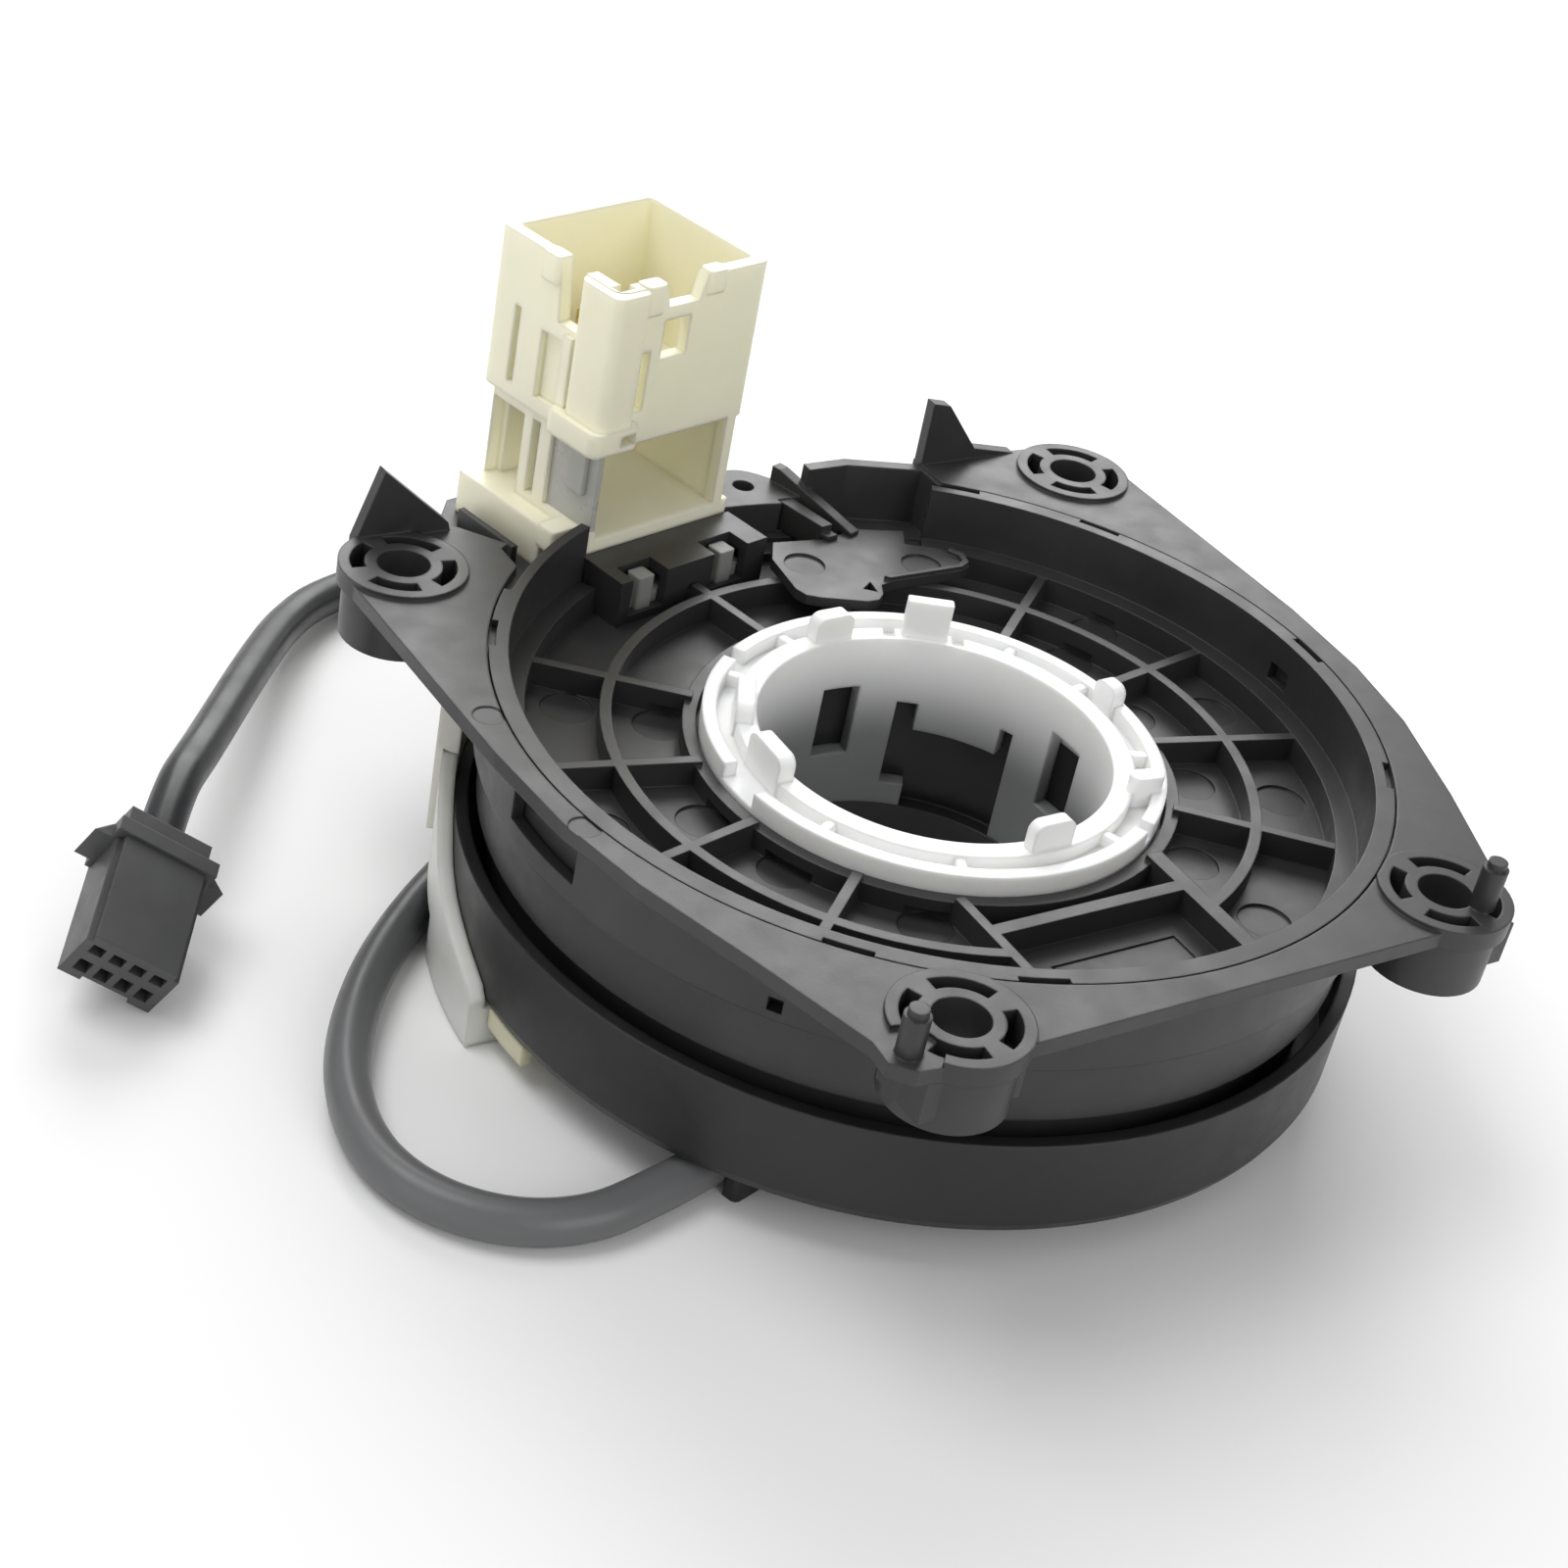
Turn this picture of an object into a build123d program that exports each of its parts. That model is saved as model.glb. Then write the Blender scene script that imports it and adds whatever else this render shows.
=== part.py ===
# Steering clock spring, lying with its connector side up. Millimetres and degrees.
# The steering axis is x = y = 0 and the surface that it lies on is z = 0.
# Every height that is named below with _z is measured from the flange's top
# face, which stands flange_h above that surface.
import math
import os

from build123d import *

os.makedirs("parts", exist_ok=True)

# General
flange_h = 36.4
run_gap = 0.4          # between the turning and the fixed pieces
fit_gap = 0.1          # between pieces that are joined and don't move
z_up = (0, 0, 1)

# Stator case
flange_t = 1.8
flange_half_w = 53.4
flange_low_y = -53.0
seat_r = 50.0          # recess that holds the cover's rim
seat_depth = 1.0
seat_w = 1.0           # ledge on which the rim lies
collar_t = 1.4
collar_step_z = -10.4
shelf_z = -9.4         # the cover stands on this shelf
shelf_w = 1.6
wall_t = 1.8
wall_end_z = -17.8
skirt_t = 1.6
skirt_clear = 2.6      # between the skirt's end and the drum's floor
ear_far = (46.5, 39.6)
ear_near = (30.8, -47.9)
ear_hole_r = 2.95
ear_disc_r = 7.2
ear_lift = 0.5
ear_slot_in_r = 4.3
ear_slot_out_r = 5.9
ear_boss_z = -8.2
pin_right = (32.8, -51.2)
pin_left = (-38.0, -50.0)
pin_r = 1.35
pin_right_h = 6.2
pin_left_h = 5.2
pin_seat_r = 3.3       # flat spot round the left pin
deck_z = -4.0          # lowered part of the flange round the connector
deck_low_z = -7.6      # deck's left part, beside the connector
deck_low_t = 1.2
pocket_low_z = -8.9    # underside of the pocket behind the dish
pocket_t = 1.0
deck_t = 3.0
deck_from = 51.0
deck_to = 139.0
small_ear = (6.2, 53.3)
small_ear_r = 4.0
small_ear_hole_r = 1.35
fin_t = 1.6
fin_h = 8.5

# Back cover
rim_t = 1.2
cover_wall_t = 1.1
ledge_w = 2.5
ledge_z = -6.8
floor_z = -10.0
floor_t = 1.5
mid_ring_r = 36.4
mid_ring_t = 1.3
rib_t = 1.2
rib_z = -7.0
hub_collar_t = 1.5
hub_collar_z = -7.6
lip_w = 1.8
blade_end = 117.0
wall_low_from = 58.0
wall_low_z = -8.0
box_half_w = 12.4
box_beam_y = -30.2
mark_r = 3.0
mark_depth = 0.3
terrace_t = 1.5
terrace_half_w = 11.7
terrace_front = 39.6
notch_w = 5.4
notch_deep = 3.2
peg_at = (-7.2, 5.7)
peg_w = 2.4
peg_top_z = -4.6

# Terminal lid, which lies on the cover's ribs
lid_t = 1.3

# Connector tower, in its own directions
tower_turn = 13.0
tower_front = 46.7     # distance of its front face from the steering axis
tower_left = -11.8
tower_w = 23.5
tower_l = 21.0
tower_top_z = 29.0
tower_round = 1.6
tower_split_z = 11.0
tower_t = 1.7
tower_waist = 1.0      # the lower half is this much smaller at the right
tower_waist_back = 1.7
tower_foot_t = 1.8
tower_foot_out = 0.8
tower_leg_out = 2.2
blade_w = 0.9
blade_t = 0.6
blade_pitch = 2.6
blade_rows = 2
blade_cols = 5

# Rotor sleeve
bore_r = 20.0
sleeve_t = 2.0
hub_ring_r = 26.0
hub_ring_z = -5.5
hub_rim_t = 1.6
bore_rim_t = 2.4
channel_depth = 1.8
lug_gap = 0.4          # the tabs stand this far behind the bore's wall
guide_t = 2.2          # thickness of the ring under the cover's lip
sleeve_clear = 1.1     # between the sleeve's end and the drum's floor

# Rotor drum
drum_clear = 0.7       # between the drum and the case's lower wall
drum_t = 1.5
drum_top_z = -19.3
drum_floor_t = 1.6
foot_h = 5.2           # room for the lead under the drum
tube_t = 1.6
foot_ring_in_r = 24.5
foot_ring_out_r = 29.0

# Side shell, side block and insert
shell_wall_t = 1.7
pocket_wall_t = 1.3
shell_from = 149.0
shell_to = 178.6
shell_base_from = 161.0
shell_pocket_from = 168.0
shell_top_z = -14.8
shell_lift = 0.2
block_t = 2.6
block_from = 139.0
block_top_z = -9.4
block_low_z = -27.2
pocket_roof_t = 1.2
insert_from = 178.8
insert_to = 187.0
insert_h = 2.4
insert_r = 51.0

# Flat ribbon
ribbon_t = 0.4
ribbon_clear = 2.0     # between the ribbon and the drum's floor
ribbon_top_clear = 3.1
ribbon_in_r = 26.6
ribbon_pitch = 2.7
ribbon_half_turns = 13

# Lead and plug
lead_d = 4.9
lead_lift = 0.05       # keeps the lead just clear of the surface
clamp_w = 8.6
clamp_l = 9.0
clamp_at = (-34.6, -24.7)
clamp_turn = 16.0
plug_collar = (-78.1, 29.2, -27.2)   # middle of the plug where its rear clip ends
plug_forward = (-0.521, -0.825, -0.218)
plug_across = (0.794, -0.374, -0.477)
plug_w = 10.7
plug_h = 7.4
plug_l = 14.1
clip_l = 4.5
clip_t = 1.0
cavity_pitch = 2.35
cavity_w = 1.5
cavity_depth = 9.0


def at(r, a):
    """Point at radius r and angle a about the steering axis."""
    return (r * math.cos(math.radians(a)), r * math.sin(math.radians(a)))


def ring(r_in, r_out, z0, z1, a0=0.0, a1=360.0):
    """Ring about the steering axis, or a sector of one."""
    with BuildPart() as p:
        with BuildSketch(Plane.XY.offset(flange_h + z0)):
            if a1 - a0 >= 360:
                Circle(r_out)
                if r_in > 0:
                    Circle(r_in, mode=Mode.SUBTRACT)
            else:
                with BuildLine():
                    outer = CenterArc((0, 0), r_out, a0, a1 - a0)
                    inner = CenterArc((0, 0), r_in, a0, a1 - a0)
                    Line(outer @ 0, inner @ 0)
                    Line(outer @ 1, inner @ 1)
                make_face()
        extrude(amount=z1 - z0)
    return p.part


def slab(points, z0, z1, plane=Plane.XY):
    """Upright slab over a closed outline."""
    with BuildPart() as p:
        with BuildSketch(plane.offset(flange_h + z0)):
            with BuildLine():
                Polyline(*points, close=True)
            make_face()
        extrude(amount=z1 - z0)
    return p.part


def block(x0, x1, y0, y1, z0, z1, plane=Plane.XY, round_r=0.0):
    """Box between two corners, in the directions of a plane."""
    with BuildPart() as p:
        with BuildSketch(plane.offset(flange_h + z0)):
            with Locations(((x0 + x1) / 2, (y0 + y1) / 2)):
                if round_r > 0:
                    RectangleRounded(x1 - x0, y1 - y0, round_r)
                else:
                    Rectangle(x1 - x0, y1 - y0)
        extrude(amount=z1 - z0)
    return p.part


def rod(center, r, z0, z1):
    """Upright round rod."""
    with BuildPart() as p:
        with BuildSketch(Plane.XY.offset(flange_h + z0)):
            with Locations(center):
                Circle(r)
        extrude(amount=z1 - z0)
    return p.part


def spoke(a, r0, r1, t, z0, z1):
    """Straight radial rib at an angle."""
    plane = Plane(origin=(0, 0, 0), x_dir=at(1, a) + (0,), z_dir=z_up)
    return block(r0, r1, -t / 2, t / 2, z0, z1, plane)


# Heights that follow from the part's whole height
base_z = -flange_h
drum_floor_z = base_z + foot_h
drum_inside_z = drum_floor_z + drum_floor_t
skirt_end_z = drum_inside_z + skirt_clear
sleeve_end_z = drum_inside_z + sleeve_clear
shell_low_z = base_z + shell_lift
pocket_roof_z = drum_floor_z - pocket_roof_t
insert_low_z = drum_floor_z - insert_h
ribbon_low_z = drum_inside_z + ribbon_clear
ribbon_h = floor_z - floor_t - ribbon_top_clear - ribbon_low_z

# Planes that several pieces share
tower_plane = Plane(origin=(0, 0, 0), x_dir=at(1, tower_turn) + (0,), z_dir=z_up)
collar_in_r = seat_r - seat_w
collar_out_r = collar_in_r + collar_t
wall_in_r = collar_in_r - shelf_w
wall_out_r = wall_in_r + wall_t
skirt_out_r = wall_in_r
skirt_in_r = skirt_out_r - skirt_t
cover_out_r = collar_in_r - fit_gap
rim_in_r = cover_out_r - rim_t
ledge_in_r = rim_in_r - ledge_w
cover_foot_r = wall_in_r - fit_gap
sleeve_out_r = bore_r + sleeve_t
hub_hole_r = hub_ring_r + run_gap
lip_in_r = hub_hole_r - lip_w
hub_ring_low_z = floor_z + run_gap
guide_out_r = lip_in_r - run_gap
tube_in_r = sleeve_out_r + fit_gap
tube_out_r = tube_in_r + tube_t
drum_in_r = wall_out_r + drum_clear
drum_r = drum_in_r + drum_t
block_r = drum_r + block_t
tower_x1 = tower_left + tower_w
tower_back = tower_front + tower_l
waist_x1 = tower_x1 - tower_waist
waist_back = tower_back - tower_waist_back
foot_top_z = deck_z + tower_foot_t
long_wall_low_z = -7.8
lid_top_z = rib_z + lid_t
ears = (ear_far, (-ear_far[0], ear_far[1]), ear_near, (-ear_near[0], ear_near[1]))
rib_angles = (141.0, 168.0, 192.5, 219.5, 318.5, 346.5, 10.5, 38.5, 77.5, 103.0)

# Outlines of the flange and of the lowered deck
flange_outline = [
    (ear_near[0] + 6.6, ear_near[1] - 3.0), (45.2, -33.5), (50.4, -20.0), (52.8, -9.0),
    (flange_half_w + 0.4, 4.0), (flange_half_w, ear_far[1]), (ear_far[0], ear_far[1] + ear_disc_r),
    (29.0, 47.6), (29.0, 20.0), (-34.0, 20.0), (-34.0, 40.6), (-38.8, 46.4),
    (-ear_far[0], ear_far[1] + ear_disc_r), (-flange_half_w, ear_far[1]), (-flange_half_w + 0.6, 4.0),
    (-51.8, -9.0), (-49.4, -20.0), (-44.8, -33.5), (pin_left[0] - 2.4, pin_left[1] + 2.4),
    (pin_left[0] - 2.6, pin_left[1] - 0.6), (pin_left[0] - 0.6, pin_left[1] - 2.6), (-35.5, flange_low_y),
    (34.8, flange_low_y),
]
flange_marks = ((-50.4, 10.3), (-50.0, -10.1))
flange_mark_r = 1.7
deck_outline = [
    (29.0, 20.0), (29.0, 47.6), (26.5, 48.6), (18.6, 51.6), (12.0, 52.6), (9.4, 55.8),
    (3.4, 56.4), (0.6, 58.0), (-2.6, 70.2), (-28.6, 64.4), (-36.0, 54.0), (-38.8, 46.4),
    (-34.0, 40.6), (-34.0, 20.0),
]

with BuildPart() as stator_case:
    add(slab(flange_outline, -flange_t, 0))
    add(slab(deck_outline, deck_z - deck_t, deck_z))
    # its left part is lower, with a wall between the two levels
    add(block(-40.0, tower_left + 1.8, 30.0, tower_back + 12, deck_z - deck_t - 1, deck_z + 1, tower_plane),
        mode=Mode.SUBTRACT)
    with BuildSketch(Plane.XY.offset(flange_h + deck_low_z - deck_low_t)):
        with BuildLine():
            Polyline(*deck_outline, close=True)
        make_face()
        with BuildSketch(mode=Mode.INTERSECT):
            with Locations(tower_plane.from_local_coords((tower_left - 18.0, tower_front + 6.0, 0))):
                Rectangle(43.6, 60.0, rotation=tower_turn)
    extrude(amount=deck_low_t)
    add(block(tower_left + 1.8, tower_left + 3.4, tower_front - 1.0, tower_back + 0.8,
              deck_low_z - deck_low_t, deck_z, tower_plane))
    add(block(tower_left - 4.8, tower_left - 4.0, tower_front + 6.6, tower_front + 16.6,
              deck_low_z, deck_low_z + 2.6, tower_plane))
    add(ring(0, collar_in_r, deck_low_z - deck_t, deck_z - deck_t), mode=Mode.SUBTRACT)
    # walls between the flange and the deck
    add(slab([(-38.8, 46.4), (-34.0, 40.6), (-32.8, 41.4), (-37.6, 47.2)], deck_z - deck_t, 0))
    add(slab([(27.6, 30.0), (29.2, 30.0), (29.2, 47.6), (27.6, 48.2)], deck_z - deck_t, 0))
    # back wall behind the dish
    add(slab([(7.2, 44.0), (7.2, 50.8), (18.8, 50.8), (28.8, 46.9), (28.8, 36.0)], pocket_low_z, deck_z - 0.2))
    add(slab([(12.8, 46.0), (12.8, 50.8), (18.8, 50.8), (28.8, 46.9), (28.8, 36.0)], deck_z - 0.2, -0.4))
    add(ring(0, wall_in_r, collar_step_z - 1, shelf_z), mode=Mode.SUBTRACT)
    add(rod(small_ear, small_ear_r, deck_z - deck_t, deck_z))
    # ear discs and the bosses under them
    for ear in ears:
        add(rod(ear, ear_disc_r, -flange_t, ear_lift))
        add(rod(ear, ear_slot_out_r + 0.6, ear_boss_z, -flange_t))
    add(rod(pin_left, pin_seat_r, 0, ear_lift + 1), mode=Mode.SUBTRACT)
    add(block(27.5, 37.2, -52.6, -45.5, ear_boss_z + 1.4, -flange_t))
    add(block(-37.2, -25.6, -52.6, -45.5, ear_boss_z + 1.4, -flange_t))
    # collar, shelf, lower wall and inner skirt
    add(ring(collar_in_r, collar_out_r, collar_step_z, deck_z))
    add(ring(collar_in_r, collar_out_r, deck_z, -flange_t, deck_to - 2, deck_from + 362))
    add(ring(wall_in_r, collar_out_r, collar_step_z, shelf_z))
    add(ring(wall_in_r, wall_out_r, wall_end_z, shelf_z))
    add(ring(skirt_in_r, wall_out_r, wall_end_z, wall_end_z + skirt_t))
    add(ring(skirt_in_r, skirt_out_r, skirt_end_z, wall_end_z + skirt_t))
    # the dish's opening, and the seat for its rim
    add(ring(0, collar_in_r, shelf_z, 2), mode=Mode.SUBTRACT)
    add(ring(0, seat_r, -seat_depth, 2), mode=Mode.SUBTRACT)
    # pocket between the dish and the back wall, with two long walls that end at the lid
    add(slab([(8.8, 42.0), (8.8, 49.2), (18.4, 49.2), (27.3, 45.8), (27.3, 37.0), (20.0, 38.0)],
             pocket_low_z + pocket_t, 2), mode=Mode.SUBTRACT)
    add(slab([(8.4, 51.6), (10.5, 51.9), (12.6, 42.3), (11.0, 42.1)], long_wall_low_z, deck_z - 0.2))
    add(slab([(11.0, 42.1), (12.6, 42.3), (12.9, 41.2), (11.4, 41.0)], lid_top_z, lid_top_z + 0.6))
    with BuildSketch(Plane(origin=(10.4, 53.8, flange_h), x_dir=(4.1, -11.6, 0), z_dir=(-11.6, -4.1, 0))):
        with BuildLine():
            Polyline((0, long_wall_low_z), (0, -2.0), (1.2, -2.0), (13.4, lid_top_z + 0.5), (13.4, lid_top_z),
                     (11.3, lid_top_z), (11.3, long_wall_low_z), close=True)
        make_face()
    extrude(amount=-1.5)
    # fins beside the two far ears
    with BuildSketch(Plane(origin=(0, 48.0, flange_h), x_dir=(1, 0, 0), z_dir=(0, -1, 0))):
        with BuildLine():
            Polyline((27.6, deck_z), (27.6, fin_h), (30.2, fin_h - 0.6), (35.5, 1.4), (42.0, 0.0),
                     (42.0, -flange_t), (28.0, -flange_t), close=True)
        make_face()
    extrude(amount=fin_t)
    with BuildSketch(Plane(origin=(0, 47.4, flange_h), x_dir=(1, 0, 0), z_dir=(0, -1, 0))):
        with BuildLine():
            Polyline((-49.5, 0.0), (-46.6, fin_h), (-38.2, 1.0), (-37.4, -flange_t),
                     (-49.5, -flange_t), close=True)
        make_face()
    extrude(amount=fin_t)
    # locating pins, each with a smaller tip
    for spot, high in ((pin_right, pin_right_h), (pin_left, pin_left_h)):
        add(rod(spot, pin_r, -flange_t, high - 0.8))
        add(rod(spot, pin_r - 0.35, high - 0.8, high))
    # screw holes and the slots round them
    for ear in ears:
        add(rod(ear, ear_hole_r, ear_boss_z - 1, ear_lift + 1), mode=Mode.SUBTRACT)
        for k, (s0, span) in enumerate(((20, 70), (115, 60), (205, 60), (290, 62))):
            with BuildSketch(Plane.XY.offset(flange_h + ear_lift)):
                with BuildLine():
                    o = CenterArc(ear, ear_slot_out_r, s0, span)
                    i = CenterArc(ear, ear_slot_in_r, s0, span)
                    Line(o @ 0, i @ 0)
                    Line(o @ 1, i @ 1)
                make_face()
            extrude(amount=-(ear_lift + flange_t + 1.5), mode=Mode.SUBTRACT)
    add(rod(small_ear, small_ear_hole_r, deck_z - deck_t - 1, deck_z + 1), mode=Mode.SUBTRACT)
    # two round marks on the flange
    for spot in flange_marks:
        add(rod(spot, flange_mark_r, -mark_depth / 2, 1), mode=Mode.SUBTRACT)
    # side window and square hole in the collar
    add(ring(wall_in_r, 56, -8.1, -flange_t - 0.2, 176.2, 190.2), mode=Mode.SUBTRACT)
    add(ring(wall_in_r, 56, -9.4, -7.8, 217.8, 219.6), mode=Mode.SUBTRACT)
stator_case.part.label = "stator_case"
export_step(stator_case.part, "parts/stator_case.step")

with BuildPart() as back_cover:
    # rim, wall, ledge and floor
    add(ring(rim_in_r, cover_out_r, shelf_z + fit_gap, 0))
    add(ring(rim_in_r, seat_r - 2 * fit_gap, -seat_depth + fit_gap, 0))
    add(ring(ledge_in_r, rim_in_r, shelf_z + fit_gap, ledge_z))
    add(ring(ledge_in_r, cover_foot_r, floor_z - floor_t, shelf_z + fit_gap))
    add(ring(lip_in_r, ledge_in_r, floor_z - floor_t, floor_z))
    # hub collar and middle ring
    add(ring(hub_hole_r, hub_hole_r + hub_collar_t, floor_z, hub_collar_z))
    add(ring(mid_ring_r - mid_ring_t / 2, mid_ring_r + mid_ring_t / 2, floor_z, rib_z))
    for a in rib_angles:
        add(spoke(a, hub_hole_r + hub_collar_t / 2, ledge_in_r + 0.3, rib_t, floor_z, rib_z))
    # box without the ring, between two ribs and a straight beam
    add(block(-box_half_w, box_half_w, -46.2, box_beam_y, floor_z, 0), mode=Mode.SUBTRACT)
    add(ring(ledge_in_r, rim_in_r, shelf_z + fit_gap, ledge_z, 250.0, 290.0))
    add(ring(ledge_in_r, cover_foot_r, floor_z, shelf_z + fit_gap, 250.0, 290.0))
    add(ring(rim_in_r, cover_out_r, shelf_z + fit_gap, 0, 240.0, 300.0))
    add(ring(rim_in_r, seat_r - 2 * fit_gap, -seat_depth + fit_gap, 0, 240.0, 300.0))
    add(block(-box_half_w - rib_t, -box_half_w, -43.8, -24.4, floor_z, rib_z))
    add(block(box_half_w - 0.9, box_half_w + 1.1, -43.8, -24.4, floor_z, rib_z))
    add(block(-box_half_w, box_half_w, box_beam_y - 0.8, box_beam_y + 0.8, floor_z, rib_z))
    # low frame of the bare panel in the box
    add(block(-7.6, 8.6, -39.0, -34.2, floor_z - 0.25, floor_z + 1), mode=Mode.SUBTRACT)
    add(block(-7.3, 8.3, -38.7, -34.5, floor_z - 0.3, floor_z))
    # the wall is low behind the terrace and free of its rim beside the deck
    add(ring(ledge_in_r - 6, seat_r + 1, wall_low_z, 1, wall_low_from, blade_end), mode=Mode.SUBTRACT)
    add(ring(cover_out_r, seat_r + 1, -seat_depth - 1, 1, deck_from, deck_to), mode=Mode.SUBTRACT)
    add(ring(ledge_in_r, rim_in_r - 0.1, floor_z + 1.2, 1, wall_low_from + 4, blade_end + 1), mode=Mode.SUBTRACT)
    add(block(-terrace_half_w + rib_t, terrace_half_w - rib_t, terrace_front + rib_t, 45.6,
              floor_z, 1, tower_plane), mode=Mode.SUBTRACT)
    # terrace in front of the connector
    add(block(-terrace_half_w, terrace_half_w, terrace_front, tower_front - fit_gap,
              deck_z - terrace_t, deck_z, tower_plane))
    add(block(-terrace_half_w, terrace_half_w, terrace_front, terrace_front + rib_t,
              floor_z, deck_z, tower_plane))
    add(block(terrace_half_w - rib_t, terrace_half_w, terrace_front, 45.0, floor_z, deck_z, tower_plane))
    add(block(-terrace_half_w, -terrace_half_w + rib_t, terrace_front, 46.0, floor_z, deck_z, tower_plane))
    for u in peg_at:
        add(block(u - notch_w / 2, u + notch_w / 2, terrace_front - 1, terrace_front + notch_deep,
                  floor_z + 1.2, deck_z + 1, tower_plane), mode=Mode.SUBTRACT)
    # snap steps in the rim
    for a in (147.0, 222.0, 244.0, 322.0, 352.0, 30.0):
        add(ring(seat_r - 0.9, seat_r + 1, -seat_depth - 1, 1, a, a + 6.0), mode=Mode.SUBTRACT)
    # shallow ejector marks in the cells
    for spot in ((-25.2, 16.6), (-33.6, 22.6), (-40.6, 1.0), (-29.6, -1.0), (-25.7, -11.4), (-16.6, -24.4),
                 (-24.8, -31.6), (28.6, -11.6), (37.4, -17.6), (19.0, -24.2), (20.2, -35.4),
                 (41.2, 0.2), (30.4, 2.0), (30.3, 14.6), (38.0, 19.6), (18.6, 25.4)):
        add(rod(spot, mark_r, floor_z - mark_depth, floor_z + 1), mode=Mode.SUBTRACT)
    # small snap window in the far wall
    add(ring(rim_in_r - 1, seat_r, -5.6, -3.4, 355.0, 359.0), mode=Mode.SUBTRACT)
back_cover.part.label = "back_cover"
export_step(back_cover.part, "parts/back_cover.step")

with BuildPart() as terminal_lid:
    add(slab([(4.4, 42.5), (2.2, 39.0), (1.4, 32.2), (1.9, 30.6), (3.4, 29.6), (8.7, 27.3), (10.2, 27.3),
              (11.4, 28.3), (12.4, 30.2), (14.5, 30.6), (24.6, 30.6), (26.0, 31.2), (26.7, 32.6),
              (26.2, 34.4), (24.4, 36.2), (20.9, 38.0), (22.6, 40.9), (16.7, 42.8), (11.5, 41.6)],
             rib_z, lid_top_z))
    # small hook slot, two round marks and the raised strip along the right edge
    add(slab([(9.6, 30.0), (11.4, 31.2), (11.0, 28.9)], rib_z - 1, lid_top_z + 1), mode=Mode.SUBTRACT)
    for spot in ((5.6, 37.0), (20.2, 33.2)):
        add(rod(spot, mark_r - 0.5, lid_top_z - mark_depth, lid_top_z + 1), mode=Mode.SUBTRACT)
    add(slab([(13.4, 31.3), (24.2, 31.3), (25.4, 32.0), (25.7, 33.2), (25.0, 34.6), (25.7, 35.2), (26.6, 33.4),
              (26.0, 31.4), (24.6, 30.7), (14.0, 30.7)], lid_top_z, lid_top_z + 0.5))
terminal_lid.part.label = "terminal_lid"
export_step(terminal_lid.part, "parts/terminal_lid.step")

# Terminal carrier under the terrace, with the two pegs that stand in its notches
carrier_front = terrace_front + rib_t + fit_gap
with BuildPart() as terminal_carrier:
    add(block(-9.6, 9.6, carrier_front, 45.4, floor_z, floor_z + 2.6, tower_plane))
    for u in peg_at:
        add(block(u - peg_w / 2, u + peg_w / 2, terrace_front + 0.4, terrace_front + 2.8,
                  floor_z + 1.2, peg_top_z, tower_plane, 0.4))
terminal_carrier.part.label = "terminal_carrier"
export_step(terminal_carrier.part, "parts/terminal_carrier.step")

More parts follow.
